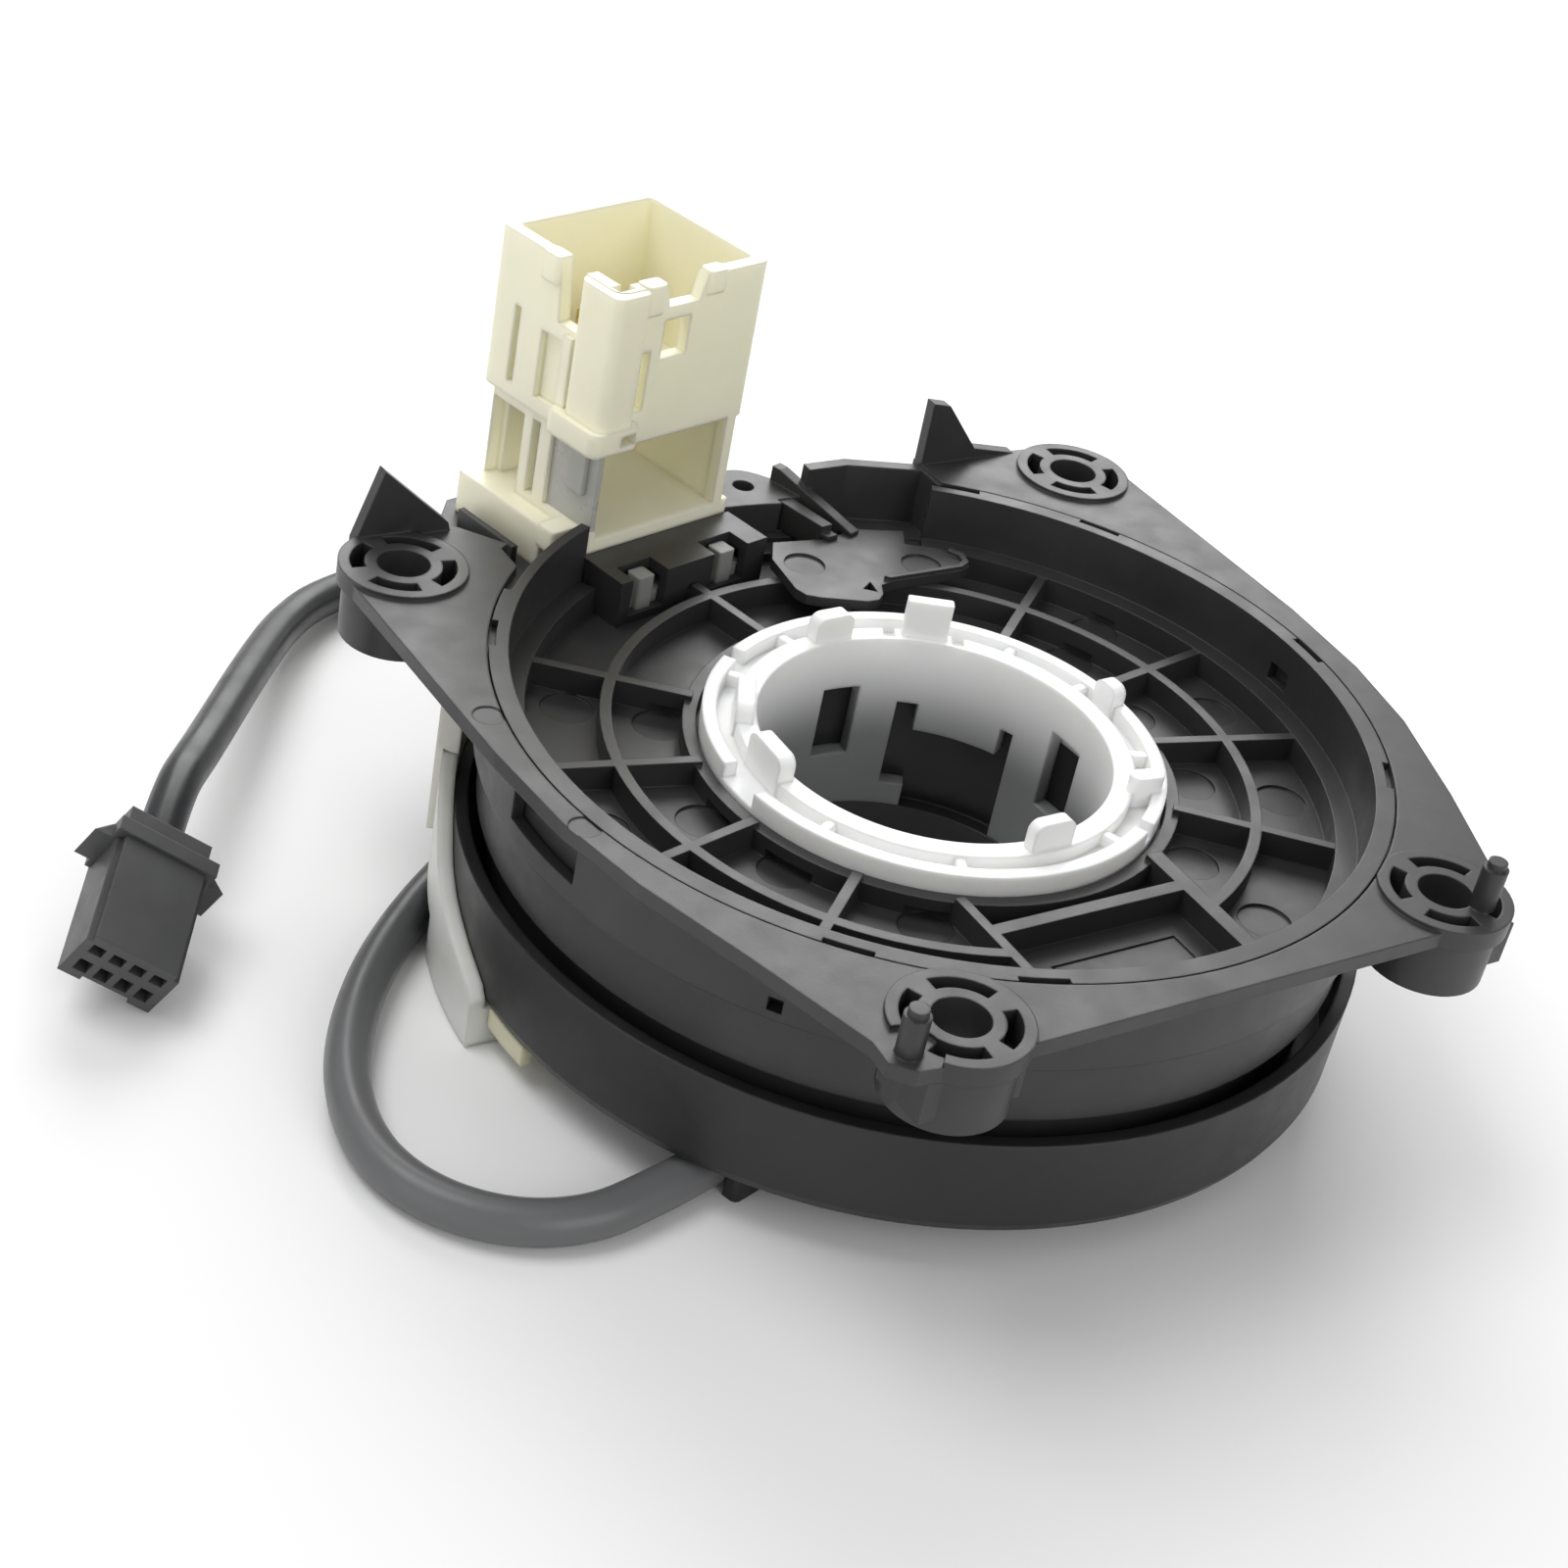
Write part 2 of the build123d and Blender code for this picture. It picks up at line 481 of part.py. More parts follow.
# Connector tower. Its front face looks at the steering axis.
split_low_z = tower_split_z - tower_t
shelf_low_z = tower_split_z - 1.3
socket_x0, socket_x1 = tower_left + tower_t, tower_x1 - tower_t
socket_y0, socket_y1 = tower_front + tower_t, tower_back - tower_t
socket_low_z = tower_split_z + tower_t
blade_first = (tower_left + 7.0, tower_front + 12.0)
blade_spots = [(blade_first[0] + i * blade_pitch, blade_first[1] + j * 1.4 * blade_pitch)
               for i in range(blade_cols) for j in range(blade_rows)]
with BuildPart() as connector_housing:
    # upper box, waist and foot, whose left side reaches down past the deck
    add(block(tower_left, tower_x1, tower_front, tower_back, split_low_z, tower_top_z, tower_plane,
              tower_round))
    add(block(tower_left + 0.4, waist_x1, tower_front, waist_back, deck_z, tower_split_z, tower_plane, 0.8))
    add(block(tower_left + 0.6, waist_x1 + tower_foot_out, tower_front,
              waist_back + tower_foot_out, deck_z, foot_top_z, tower_plane, 0.6))
    add(block(tower_left - tower_leg_out, tower_left + 1.6, tower_front + 5.0,
              waist_back + tower_foot_out, deck_low_z, foot_top_z, tower_plane))
    # tongue at the left end of the foot
    add(block(tower_left - 3.2, tower_left + 4.8, tower_front + 1.8, tower_front + 4.8,
              deck_z, foot_top_z + 1.0, tower_plane, 0.5))
    # lock column on the near corner, and the rounded shelf at its foot
    add(block(tower_left - 1.2, tower_left + 4.2, tower_front - 1.2, tower_front + 5.6,
              tower_split_z, tower_top_z - 0.1, tower_plane, 1.3))
    add(block(tower_left - 2.2, tower_left + 5.0, tower_front - 1.6, tower_front + 7.2,
              shelf_low_z, shelf_low_z + 2.8, tower_plane, 1.3))
    # soft pads on the rim
    add(block(tower_left + 3.9, tower_left + 6.9, tower_front - 0.5, tower_front + 2.0,
              tower_top_z - 3.4, tower_top_z + 0.2, tower_plane, 0.8))
    add(block(tower_left - 0.5, tower_left + tower_t, tower_front + 9.8, tower_front + 12.8,
              tower_top_z - 3.2, tower_top_z + 0.2, tower_plane, 0.7))
    add(block(tower_left + 13.4, tower_left + 16.2, tower_front - 0.4, tower_front + tower_t,
              tower_top_z - 2.4, tower_top_z + 0.4, tower_plane, 0.6))
    # upright ridge between the left face's recess and the column
    add(block(tower_left - 0.7, tower_left + 0.4, tower_front + 5.8, tower_front + 7.4,
              shelf_low_z + 1, tower_top_z - 8.0, tower_plane))
    # socket above the split, chamber below it
    add(block(socket_x0, socket_x1, socket_y0, socket_y1, socket_low_z, tower_top_z + 1, tower_plane, 0.6),
        mode=Mode.SUBTRACT)
    add(block(tower_left + tower_t, waist_x1 - tower_t, tower_front + tower_t, waist_back - tower_t,
              foot_top_z, split_low_z, tower_plane), mode=Mode.SUBTRACT)
    for spot in blade_spots:
        add(block(spot[0] - blade_w / 2, spot[0] + blade_w / 2, spot[1] - blade_t / 2, spot[1] + blade_t / 2,
                  split_low_z, socket_low_z, tower_plane), mode=Mode.SUBTRACT)
    # front face: notch with slanted sides, window, slot beside the column, open lower part
    front_plane = Plane(origin=tower_plane.from_local_coords((0, tower_front - 3, flange_h)),
                        x_dir=tower_plane.x_dir, z_dir=-tower_plane.y_dir)
    with BuildSketch(front_plane):
        with BuildLine():
            Polyline((tower_left + 6.8, tower_top_z + 1), (tower_left + 7.9, tower_top_z - 3.0),
                     (tower_left + 12.6, tower_top_z - 3.0), (tower_left + 13.6, tower_top_z + 1), close=True)
        make_face()
        with Locations((tower_left + 9.6, tower_top_z - 7.0)):
            Rectangle(4.0, 4.8)
        with Locations((tower_left + 5.4, tower_top_z - 11.8)):
            Rectangle(1.3, 7.4)
        with Locations((tower_left + 11.2, (split_low_z + foot_top_z) / 2)):
            Rectangle(18.8, split_low_z - foot_top_z)
    extrude(amount=-(3 + tower_t + 0.4), mode=Mode.SUBTRACT)
    # left face: notch, recess, slot and two lower windows
    left_plane = Plane(origin=tower_plane.from_local_coords((tower_left - 3, tower_front, flange_h)),
                       x_dir=tower_plane.y_dir, z_dir=tower_plane.x_dir)
    with BuildSketch(left_plane):
        with BuildLine():
            Polyline((5.8, tower_top_z + 1), (6.0, tower_top_z - 7.4), (9.2, tower_top_z - 7.4),
                     (10.0, tower_top_z + 1), close=True)
        make_face()
        with Locations((16.0, tower_top_z - 13.2)):
            Rectangle(1.0, 9.6)
        with Locations((10.8, (split_low_z + foot_top_z) / 2)):
            Rectangle(1.3, split_low_z - foot_top_z - 2.0)
        with Locations((15.8, (split_low_z + foot_top_z) / 2 - 0.6)):
            Rectangle(5.6, split_low_z - foot_top_z - 1.2)
    extrude(amount=3 + tower_t + 0.4, mode=Mode.SUBTRACT)
    with BuildSketch(left_plane):
        with Locations((9.6, tower_top_z - 13.6)):
            Rectangle(4.0, 8.4)
    extrude(amount=3 + tower_t / 2, mode=Mode.SUBTRACT)
    # slot in the column's top, and the hole in the shelf at its foot
    add(block(tower_left + 0.4, tower_left + 2.8, tower_front + 0.6, tower_front + 2.0,
              tower_top_z - 5.0, tower_top_z + 1, tower_plane), mode=Mode.SUBTRACT)
    add(block(tower_left + 2.0, tower_left + 4.2, tower_front - 2.0, tower_front + 0.4,
              shelf_low_z + 0.7, shelf_low_z + 2.0, tower_plane), mode=Mode.SUBTRACT)
connector_housing.part.label = "connector_housing"
export_step(connector_housing.part, "parts/connector_housing.step")

with BuildPart() as connector_divider:
    add(block(tower_left + 1.9, tower_left + 6.6, tower_front + tower_t + 0.6, tower_front + tower_t + 1.8,
              foot_top_z, split_low_z, tower_plane))
    add(block(tower_left + 2.4, tower_left + 4.8, tower_front + tower_t - 0.6, tower_front + tower_t + 0.6,
              foot_top_z + 5.8, foot_top_z + 11.2, tower_plane))
connector_divider.part.label = "connector_divider"
export_step(connector_divider.part, "parts/connector_divider.step")

with BuildPart() as connector_terminals:
    for spot in blade_spots:
        x, y = spot
        add(block(x - blade_w / 2, x + blade_w / 2, y - blade_t / 2, y + blade_t / 2,
                  split_low_z - 1.6, tower_top_z - 10.5, tower_plane))
        add(block(x - blade_w, x + blade_w, y - blade_t / 2, y + blade_t / 2,
                  split_low_z - 1.6, split_low_z, tower_plane))
connector_terminals.part.label = "connector_terminals"
export_step(connector_terminals.part, "parts/connector_terminals.step")

# Rotor sleeve
hub_rim_in_r = hub_ring_r - hub_rim_t
channel_in_r = bore_r + bore_rim_t
channel_low_z = hub_ring_z - channel_depth
guide_low_z = floor_z - floor_t - run_gap - 0.8
with BuildPart() as rotor_sleeve:
    # ring with its channel, the guide under the cover's lip, and the sleeve
    add(ring(bore_r, hub_ring_r, hub_ring_low_z, hub_ring_z))
    add(ring(channel_in_r, hub_rim_in_r, channel_low_z, hub_ring_z + 1), mode=Mode.SUBTRACT)
    for a in (10.0, 34.0, 104.0, 131.0, 207.0, 243.0, 291.0, 336.0):
        add(spoke(a, channel_in_r - 0.2, hub_rim_in_r + 0.2, 1.1, channel_low_z, hub_ring_z - 0.3))
    add(ring(bore_r, guide_out_r, guide_low_z, hub_ring_low_z))
    add(ring(bore_r, sleeve_out_r, sleeve_end_z, guide_low_z))
    # gaps in the outer rim
    for a0, a1 in ((175.0, 188.0), (299.0, 303.0), (120.0, 125.0)):
        add(ring(hub_rim_in_r - 0.1, hub_ring_r + 0.2, channel_low_z, hub_ring_z + 1, a0, a1),
            mode=Mode.SUBTRACT)
    # key tab between two slots
    key_plane = Plane(origin=(0, 0, 0), x_dir=at(1, 60.0) + (0,), z_dir=z_up)
    add(block(20.6, 22.2, -2.7, 2.7, channel_low_z, hub_ring_z + 4.7, key_plane, 0.3))
    for y in (-4.1, 4.1):
        add(block(20.2, 23.2, y - 0.7, y + 0.7, channel_low_z + 0.4, hub_ring_z + 1, key_plane),
            mode=Mode.SUBTRACT)
    add(block(22.0, 25.4, -0.5, 0.5, channel_low_z, hub_ring_z + 2.2, key_plane))
    # rounded tabs and lugs on the ring, each with its angle, radius, width, height and thickness
    for a, r0, wide, high, thick in ((92.0, bore_r + lug_gap, 5.0, 3.2, 2.0),
                                     (270.3, bore_r + lug_gap, 5.2, 3.3, 1.6),
                                     (148.0, bore_r + lug_gap, 7.0, 2.2, 2.0),
                                     (179.0, bore_r + lug_gap, 6.4, 2.9, 2.0),
                                     (1.5, 23.8, 3.4, 2.3, 1.8)):
        tab_plane = Plane(origin=(0, 0, flange_h), x_dir=at(1, a + 90) + (0,), z_dir=at(1, a) + (0,)).offset(r0)
        with BuildSketch(tab_plane):
            with Locations((0, hub_ring_z + high / 2 - 0.9)):
                RectangleRounded(wide, high + 1.8, 1.2)
            with Locations((0, hub_ring_z - 0.9)):
                Rectangle(wide, 1.8)
        extrude(amount=thick)
    lug_plane = Plane(origin=at(23.4, 317.5) + (0,), x_dir=at(1, 352.0) + (0,), z_dir=z_up)
    add(block(-2.1, 2.1, -1.0, 1.0, channel_low_z, hub_ring_z + 2.0, lug_plane, 0.95))
    # windows in the far side of the sleeve; the widest is open below and has a flap and a foot
    cut_in_r, cut_out_r = bore_r - 0.5, sleeve_out_r + 0.05
    add(ring(cut_in_r, cut_out_r, -21.3, -12.0, 78.5, 92.5), mode=Mode.SUBTRACT)
    add(ring(cut_in_r, cut_out_r, -20.7, -10.6, 353.5, 368.5), mode=Mode.SUBTRACT)
    add(ring(cut_in_r, cut_out_r, -25.5, -17.6, 23.0, 64.5), mode=Mode.SUBTRACT)
    add(ring(cut_in_r, cut_out_r, -17.7, -14.0, 23.0, 28.0), mode=Mode.SUBTRACT)
    add(ring(cut_in_r, cut_out_r, -17.7, -14.0, 57.0, 64.5), mode=Mode.SUBTRACT)
    add(ring(cut_in_r, cut_out_r, sleeve_end_z - 1, -25.4, 23.0, 56.0), mode=Mode.SUBTRACT)
rotor_sleeve.part.label = "rotor_sleeve"
export_step(rotor_sleeve.part, "parts/rotor_sleeve.step")

# Rotor drum
with BuildPart() as rotor_drum:
    profile_plane = Plane(origin=(0, 0, flange_h), x_dir=(1, 0, 0), z_dir=(0, -1, 0))
    with BuildSketch(profile_plane):
        with BuildLine():
            Polyline((drum_in_r, drum_top_z), (drum_r, drum_top_z), (drum_r, drum_floor_z + 1.4),
                     (drum_r - 0.4, drum_floor_z + 0.4), (drum_r - 1.4, drum_floor_z),
                     (foot_ring_out_r, drum_floor_z), (foot_ring_out_r, base_z + 0.6),
                     (foot_ring_out_r - 0.6, base_z), (foot_ring_in_r, base_z),
                     (foot_ring_in_r, drum_floor_z), (sleeve_out_r, drum_floor_z), (sleeve_out_r, base_z),
                     (bore_r, base_z), (bore_r, sleeve_end_z - fit_gap), (tube_in_r, sleeve_end_z - fit_gap),
                     (tube_in_r, guide_low_z),
                     (tube_out_r, guide_low_z), (tube_out_r, drum_floor_z + drum_floor_t),
                     (drum_in_r, drum_floor_z + drum_floor_t), close=True)
        make_face()
    revolve(axis=Axis.Z)
rotor_drum.part.label = "rotor_drum"
export_step(rotor_drum.part, "parts/rotor_drum.step")

# Side shell on the drum, with a pocket that is open from below
shell_in_r = drum_r + fit_gap
shell_r = shell_in_r + shell_wall_t
with BuildPart() as side_shell:
    add(ring(shell_in_r, shell_r, shell_low_z, shell_top_z, shell_from, shell_to))
    add(ring(shell_in_r - 6.6, shell_in_r, shell_low_z, drum_floor_z, shell_pocket_from, shell_to))
    # upper edge, which falls towards the near end, and lower edge, which is high where the lead passes
    mid_a = (shell_from + shell_to) / 2
    end_plane = Plane(origin=(0, 0, flange_h), x_dir=at(1, mid_a + 90) + (0,),
                      z_dir=at(1, mid_a) + (0,)).offset(shell_in_r - 8)
    with BuildSketch(end_plane):
        with BuildLine():
            Polyline((-15.0, shell_top_z + 1), (-13.4, -16.6), (-10.0, -17.8), (-5.8, -20.3),
                     (-1.8, -23.6), (2.0, -25.2), (6.0, -26.4), (10.0, -27.8), (12.2, -28.8), (13.2, -30.2),
                     (15.0, -31.0), (15.0, shell_top_z + 1), close=True)
        make_face()
    extrude(amount=14, mode=Mode.SUBTRACT)
    add(ring(shell_in_r - 8, shell_r + 1, shell_low_z - 1, drum_floor_z + 0.2, shell_from - 1, shell_base_from),
        mode=Mode.SUBTRACT)
    # pocket that is open from below
    add(ring(shell_in_r - 5.2, shell_r - pocket_wall_t, shell_low_z - 1, pocket_roof_z,
             shell_pocket_from + 1.4, shell_to - 1.6), mode=Mode.SUBTRACT)
side_shell.part.label = "side_shell"
export_step(side_shell.part, "parts/side_shell.step")

with BuildPart() as side_block:
    add(ring(drum_r, block_r, block_low_z, block_top_z, block_from, shell_from))
    add(ring(drum_r + 1.0, block_r + 1, block_low_z - 1, block_low_z + 2, block_from - 1, shell_from - 5),
        mode=Mode.SUBTRACT)
side_block.part.label = "side_block"
export_step(side_block.part, "parts/side_block.step")

with BuildPart() as shell_insert:
    add(ring(46.6, insert_r, drum_floor_z - 1.4, drum_floor_z, insert_from, insert_to))
    add(ring(46.6, 48.0, insert_low_z, drum_floor_z, insert_from, insert_to))
    add(ring(insert_r - 1.4, insert_r, insert_low_z, drum_floor_z, insert_from, insert_to))
shell_insert.part.label = "shell_insert"
export_step(shell_insert.part, "parts/shell_insert.step")

with BuildPart() as shell_terminals:
    for a in (170.2, 172.2, 174.2, 176.2):
        add(spoke(a, shell_in_r - 4.2, shell_in_r + 0.2, blade_w, pocket_roof_z - 1.4, pocket_roof_z))
shell_terminals.part.label = "shell_terminals"
export_step(shell_terminals.part, "parts/shell_terminals.step")

# Flat ribbon: a coil of half turns whose centres alternate
ribbon_step = ribbon_pitch / 2
with BuildPart() as flat_ribbon:
    with BuildSketch(Plane.XY.offset(flange_h + ribbon_low_z)):
        for k in range(ribbon_half_turns):
            r = ribbon_in_r + k * ribbon_step
            mid = (0, 0) if k % 2 == 0 else (ribbon_step, 0)
            with BuildLine():
                o = CenterArc(mid, r + ribbon_t / 2, 180 * (k % 2), 180)
                i = CenterArc(mid, r - ribbon_t / 2, 180 * (k % 2), 180)
                Line(o @ 0, i @ 0)
                Line(o @ 1, i @ 1)
            make_face()
    extrude(amount=ribbon_h)
flat_ribbon.part.label = "flat_ribbon"
export_step(flat_ribbon.part, "parts/flat_ribbon.step")

ribbon_end_r = ribbon_in_r + (ribbon_half_turns - 1) * ribbon_step + ribbon_t / 2
with BuildPart() as inner_ribbon_terminal:
    add(ring(tube_out_r, ribbon_in_r - ribbon_t / 2, ribbon_low_z + 2, ribbon_low_z + 10, 3.0, 16.0))
inner_ribbon_terminal.part.label = "inner_ribbon_terminal"
export_step(inner_ribbon_terminal.part, "parts/inner_ribbon_terminal.step")

with BuildPart() as outer_ribbon_terminal:
    add(ring(ribbon_end_r, skirt_in_r, ribbon_low_z + 2, ribbon_low_z + 10, 164.0, 177.0))
outer_ribbon_terminal.part.label = "outer_ribbon_terminal"
export_step(outer_ribbon_terminal.part, "parts/outer_ribbon_terminal.step")

# Clamp under the drum, in which the lead starts
clamp_plane = Plane(origin=clamp_at + (0,), x_dir=at(1, 180 + clamp_turn) + (0,), z_dir=z_up)
lead_low_z = base_z + lead_lift
with BuildPart() as lead_clamp:
    add(block(-clamp_l / 2, clamp_l / 2, -clamp_w / 2, clamp_w / 2, lead_low_z, drum_floor_z,
              clamp_plane, 0.8))
    add(block(-clamp_l / 2 + 1.6, clamp_l, -lead_d / 2, lead_d / 2, lead_low_z - 1, lead_low_z + lead_d,
              clamp_plane), mode=Mode.SUBTRACT)
lead_clamp.part.label = "lead_clamp"
export_step(lead_clamp.part, "parts/lead_clamp.step")

# Lead: straight runs and tangent arcs from the clamp to the plug
lead_plane_z = flange_h + lead_low_z + lead_d / 2
forward = Vector(*plug_forward).normalized()
across = (Vector(*plug_across) - forward * forward.dot(Vector(*plug_across))).normalized()
plug_up = forward.cross(across)
plug_rear = Vector(*plug_collar) + Vector(0, 0, flange_h) - forward * clip_l
lead_start = clamp_plane.from_local_coords((-clamp_l / 2 + 1.6, 0, 0))
lead_out = clamp_plane.from_local_coords((clamp_l / 2 + 2.0, 0, 0))
lead_points = [
    (lead_start.X, lead_start.Y, 0), (lead_out.X, lead_out.Y, 0), (-47.2, -27.9, 0), (-53.6, -29.0, 0),
    (-60.5, -27.3, 0), (-66.1, -23.0, 0), (-69.6, -16.9, 0), (-70.4, -9.7, 0), (-68.4, -1.6, 0),
    (-64.2, 6.4, 0), (-58.2, 14.2, 0), (-50.8, 21.4, 0), (-42.6, 27.8, 0), (-34.6, 33.6, 0),
    (-26.4, 38.9, 0), (-18.0, 44.0, 0), (-9.2, 50.0, 0), (-1.0, 56.6, 0), (3.4, 64.0, 0),
    (4.4, 72.1, 0), (2.0, 80.0, 0), (-3.4, 86.1, 0), (-10.8, 89.6, 0), (-19.4, 90.1, 0),
    (-28.2, 88.0, 0.3), (-36.0, 84.0, 1.2), (-42.6, 77.6, 2.6), (-48.2, 70.4, 4.2), (-54.0, 62.6, 5.8),
    (-60.2, 54.2, 7.2), (-66.2, 46.2, 8.5),
]
lead_points = [Vector(x, y, lead_plane_z + z) for x, y, z in lead_points]
lead_points += [plug_rear - forward * 8.0, plug_rear]
lead_radii = []
for a, b, c in zip(lead_points, lead_points[1:], lead_points[2:]):
    turn = math.radians((b - a).get_angle(c - b))
    short = min((b - a).length, (c - b).length)
    lead_radii.append(0.45 * short / math.tan(turn / 2))
print("lead radii", [round(r, 1) for r in lead_radii])
with BuildPart() as lead:
    with BuildLine() as lead_path:
        FilletPolyline(*lead_points, radius=lead_radii)
    with BuildSketch(Plane(origin=lead_points[0], z_dir=lead_points[1] - lead_points[0])):
        Circle(lead_d / 2)
    sweep()
print("lead length", round(sum(e.length for e in lead_path.edges()), 1),
      "volume over section", round(lead.part.volume / (math.pi * lead_d ** 2 / 4), 1))
lead.part.label = "lead"
export_step(lead.part, "parts/lead.step")

# Plug, in its own directions: x across, y backwards, z up
plug_plane = Plane(origin=Vector(*plug_collar), x_dir=across, z_dir=plug_up)


def plug_block(x0, x1, y0, y1, z0, z1):
    """Box in the plug's own directions."""
    with BuildPart() as p:
        with BuildSketch(Plane(origin=plug_plane.origin + Vector(0, 0, flange_h), x_dir=across,
                               z_dir=plug_up).offset(z0)):
            with Locations(((x0 + x1) / 2, (y0 + y1) / 2)):
                Rectangle(x1 - x0, y1 - y0)
        extrude(amount=z1 - z0)
    return p.part


cavity_rows = ((plug_h * 0.22, cavity_w), (-plug_h * 0.20, cavity_w + 0.5))
cavity_x = [(i - 1.5) * cavity_pitch for i in range(4)]
with BuildPart() as plug_body:
    add(plug_block(-plug_w / 2, plug_w / 2, -plug_l, 0, -plug_h / 2, plug_h / 2))
    # bevelled upper corners and the step along the lower edge
    for side in (-1, 1):
        add(plug_block(side * plug_w / 2 - 0.6, side * plug_w / 2 + 0.6, -plug_l - 1, 1,
                       plug_h / 2 - 0.9, plug_h / 2 + 1), mode=Mode.SUBTRACT)
    add(plug_block(-plug_w / 2 + 2.6, plug_w / 2 - 2.6, -plug_l - 1, -plug_l + 1.6,
                   -plug_h / 2 - 1, -plug_h / 2 + 0.7), mode=Mode.SUBTRACT)
    # low latch bridge on the top
    add(plug_block(-2.2, 2.2, -plug_l + 3.4, -1.6, plug_h / 2, plug_h / 2 + 0.5))
    add(plug_block(-0.9, 0.9, -plug_l + 5.0, -3.4, plug_h / 2 - 0.4, plug_h / 2 + 1), mode=Mode.SUBTRACT)
    for z, high in cavity_rows:
        for x in cavity_x:
            add(plug_block(x - cavity_w / 2, x + cavity_w / 2, -plug_l - 1, -plug_l + cavity_depth,
                           z - high / 2, z + high / 2), mode=Mode.SUBTRACT)
plug_body.part.label = "plug_body"
export_step(plug_body.part, "parts/plug_body.step")

with BuildPart() as plug_rear_clip:
    add(plug_block(-plug_w / 2 + 0.5, plug_w / 2 - 0.5, 0, clip_l, -plug_h / 2 + 0.5, plug_h / 2 - 0.5))
    add(plug_block(-plug_w / 2 - clip_t / 2, plug_w / 2 + clip_t / 2, 0, clip_l * 0.42,
                   -plug_h / 2, plug_h / 2 + clip_t / 2))
    # slanted wings
    wing_plane = Plane(origin=plug_plane.origin + Vector(0, 0, flange_h), x_dir=across, z_dir=plug_up)
    for side in (-1, 1):
        edge = side * (plug_w / 2 - 0.6)
        with BuildSketch(wing_plane.offset(-plug_h / 2 + 1.2)):
            with BuildLine():
                Polyline((edge, 0.2), (edge + side * 2.9, -0.9), (edge + side * 3.1, -0.1),
                         (edge + side * 1.2, 1.8), (edge, 2.4), close=True)
            make_face()
        extrude(amount=plug_h - 2.6)
    add(plug_block(-plug_w / 2 - 3, plug_w / 2 + 3, -2, 0, -plug_h, plug_h), mode=Mode.SUBTRACT)
plug_rear_clip.part.label = "plug_rear_clip"
export_step(plug_rear_clip.part, "parts/plug_rear_clip.step")

with BuildPart() as plug_contacts:
    for z, high in cavity_rows:
        for x in cavity_x:
            add(plug_block(x - cavity_w / 2 + 0.2, x + cavity_w / 2 - 0.2, -plug_l + 3.0,
                           -plug_l + cavity_depth, z - high / 2 + 0.2, z + high / 2 - 0.2))
plug_contacts.part.label = "plug_contacts"
export_step(plug_contacts.part, "parts/plug_contacts.step")
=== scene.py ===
import math

import bmesh
import bpy
from mathutils import Euler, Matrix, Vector


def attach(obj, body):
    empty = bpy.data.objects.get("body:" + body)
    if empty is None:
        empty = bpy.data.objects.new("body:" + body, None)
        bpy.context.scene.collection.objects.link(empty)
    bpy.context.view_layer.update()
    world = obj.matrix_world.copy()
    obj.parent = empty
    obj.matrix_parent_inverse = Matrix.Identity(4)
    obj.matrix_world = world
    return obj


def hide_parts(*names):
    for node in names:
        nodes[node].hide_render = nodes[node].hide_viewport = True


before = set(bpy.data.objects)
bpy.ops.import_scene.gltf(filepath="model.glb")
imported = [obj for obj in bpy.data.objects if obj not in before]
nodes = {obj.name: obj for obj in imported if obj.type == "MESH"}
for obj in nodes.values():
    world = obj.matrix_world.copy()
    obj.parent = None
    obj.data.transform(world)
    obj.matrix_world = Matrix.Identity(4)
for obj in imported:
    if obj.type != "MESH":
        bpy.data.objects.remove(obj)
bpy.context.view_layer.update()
MM = 0.001


def link_object(name, data):
    """New object in the scene around a mesh, curve, lamp or camera."""
    piece = bpy.data.objects.new(name, data)
    bpy.context.collection.objects.link(piece)
    return piece


def dress(piece, mat):
    """Gives a piece one material."""
    piece.data.materials.clear()
    piece.data.materials.append(mat)


# Materials

# Scales of the noise, where a larger number is a finer pattern
mottle_scale = 90.0
gloss_scale = 240.0
grain_scale = 2600.0
plating_scale = 500.0
plating_gloss_scale = 900.0
noise_rough = 0.55
noise_middle = (0.3, 0.7)       # noise seldom leaves this part of 0 to 1

grain_depth = 0.05 * MM
gloss_drift = (-0.06, 0.07)
plating_gloss_drift = (-0.08, 0.10)
plating_dull = 0.85             # the darkest plating, as a share of its colour
soft_depth = 2.0 * MM           # how far light goes into soft plastic
soft_tint = (1.0, 0.9, 0.75)
plastic_ior = 1.48


def new_material(name):
    """Material with its node tree and its shader."""
    mat = bpy.data.materials.new(name)
    mat.use_nodes = True
    tree = mat.node_tree
    return mat, tree, tree.nodes["Principled BSDF"]


def object_place(tree):
    """Place on the piece, in its own metres."""
    return tree.nodes.new("ShaderNodeTexCoord").outputs["Object"]


def noise(tree, scale, detail=4.0):
    """Noise in the object's own metres."""
    tex = tree.nodes.new("ShaderNodeTexNoise")
    tex.inputs["Scale"].default_value = scale
    tex.inputs["Detail"].default_value = detail
    tex.inputs["Roughness"].default_value = noise_rough
    tree.links.new(object_place(tree), tex.inputs["Vector"])
    return tex.outputs["Fac"]


def map_range(tree, value, before, after, curve="LINEAR"):
    """Maps one range of values onto another one."""
    node = tree.nodes.new("ShaderNodeMapRange")
    node.interpolation_type = curve
    for key, number in zip(("From Min", "From Max", "To Min", "To Max"), (*before, *after)):
        node.inputs[key].default_value = number
    tree.links.new(value, node.inputs["Value"])
    return node.outputs["Result"]


def spread_noise(tree, scale, low, high):
    """Noise spread over a range."""
    return map_range(tree, noise(tree, scale), noise_middle, (low, high))


def uneven_gloss(tree, bsdf, scale, rough, drift):
    """Roughness that drifts to both sides of its middle value."""
    low, high = (rough + change for change in drift)
    tree.links.new(spread_noise(tree, scale, low, high), bsdf.inputs["Roughness"])


